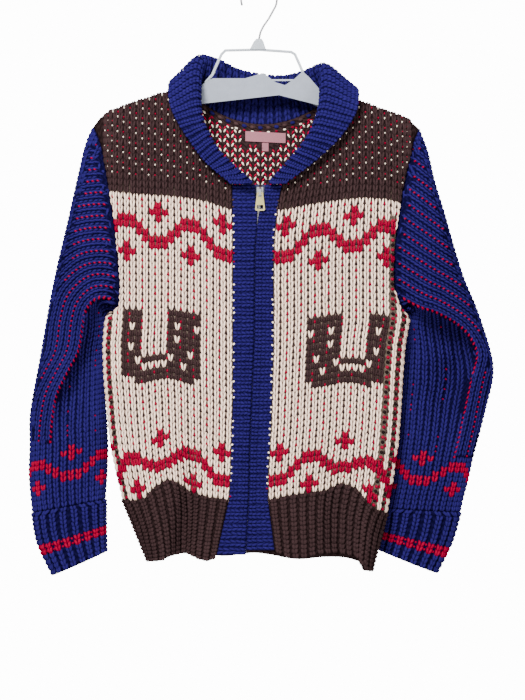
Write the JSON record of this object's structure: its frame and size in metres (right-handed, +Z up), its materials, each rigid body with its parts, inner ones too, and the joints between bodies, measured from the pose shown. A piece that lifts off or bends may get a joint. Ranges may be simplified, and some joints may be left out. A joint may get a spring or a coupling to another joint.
{
  "type": "zip cardigan on hanger",
  "caption": "Chunky knitted shawl-collar zip cardigan with ribbed hem and cuffs, hanging by its shoulders from a covered clear hanger with a wire hook.",
  "frame": {"origin": "the inside top of the hanger's hook, where it bears on a rail", "axes": "+Z up, the front faces -Y, +X towards the viewer's right as the front is seen, which is the wearer's left"},
  "size_m": [0.6122, 0.0978, 0.7793],
  "materials": {
    "cream_wool": "chunky stocking stitch wool",
    "brown_wool": "chunky ribbed wool",
    "blue_wool": "chunky knitted wool",
    "zip_tape": "woven tape",
    "woven_label": "woven satin",
    "grey_cover": "thin matte sleeve",
    "clear_plastic": "clear moulding",
    "steel": "polished wire",
    "pale_gold": "polished"
  },
  "bodies": {
    "garment": {"front_right": "cream_wool", "front_left": "cream_wool", "back": "cream_wool", "hem_right": "brown_wool", "hem_left": "brown_wool", "hem_back": "brown_wool", "sleeve_right": "blue_wool", "sleeve_left": "blue_wool", "cuff_right": "blue_wool", "cuff_left": "blue_wool", "collar": "blue_wool", "band_right": "blue_wool", "band_left": "blue_wool", "zip_tape_right": "zip_tape", "zip_tape_left": "zip_tape", "zip_slider": "steel", "neck_label": "woven_label", "size_tab": "woven_label", "hanger_hook": "steel", "hanger_frame": "clear_plastic", "hanger_arms": "grey_cover", "hanger_cover": "grey_cover"},
    "pull": {"zip_pull": "pale_gold"}
  },
  "joints": [
    {"name": "pull_swing", "type": "hinge", "parent": "garment", "child": "pull", "pos_m": [0.0014, -0.03425, -0.27775], "axis": [-1, 0, 0], "range_deg": [0, 130]}
  ]
}
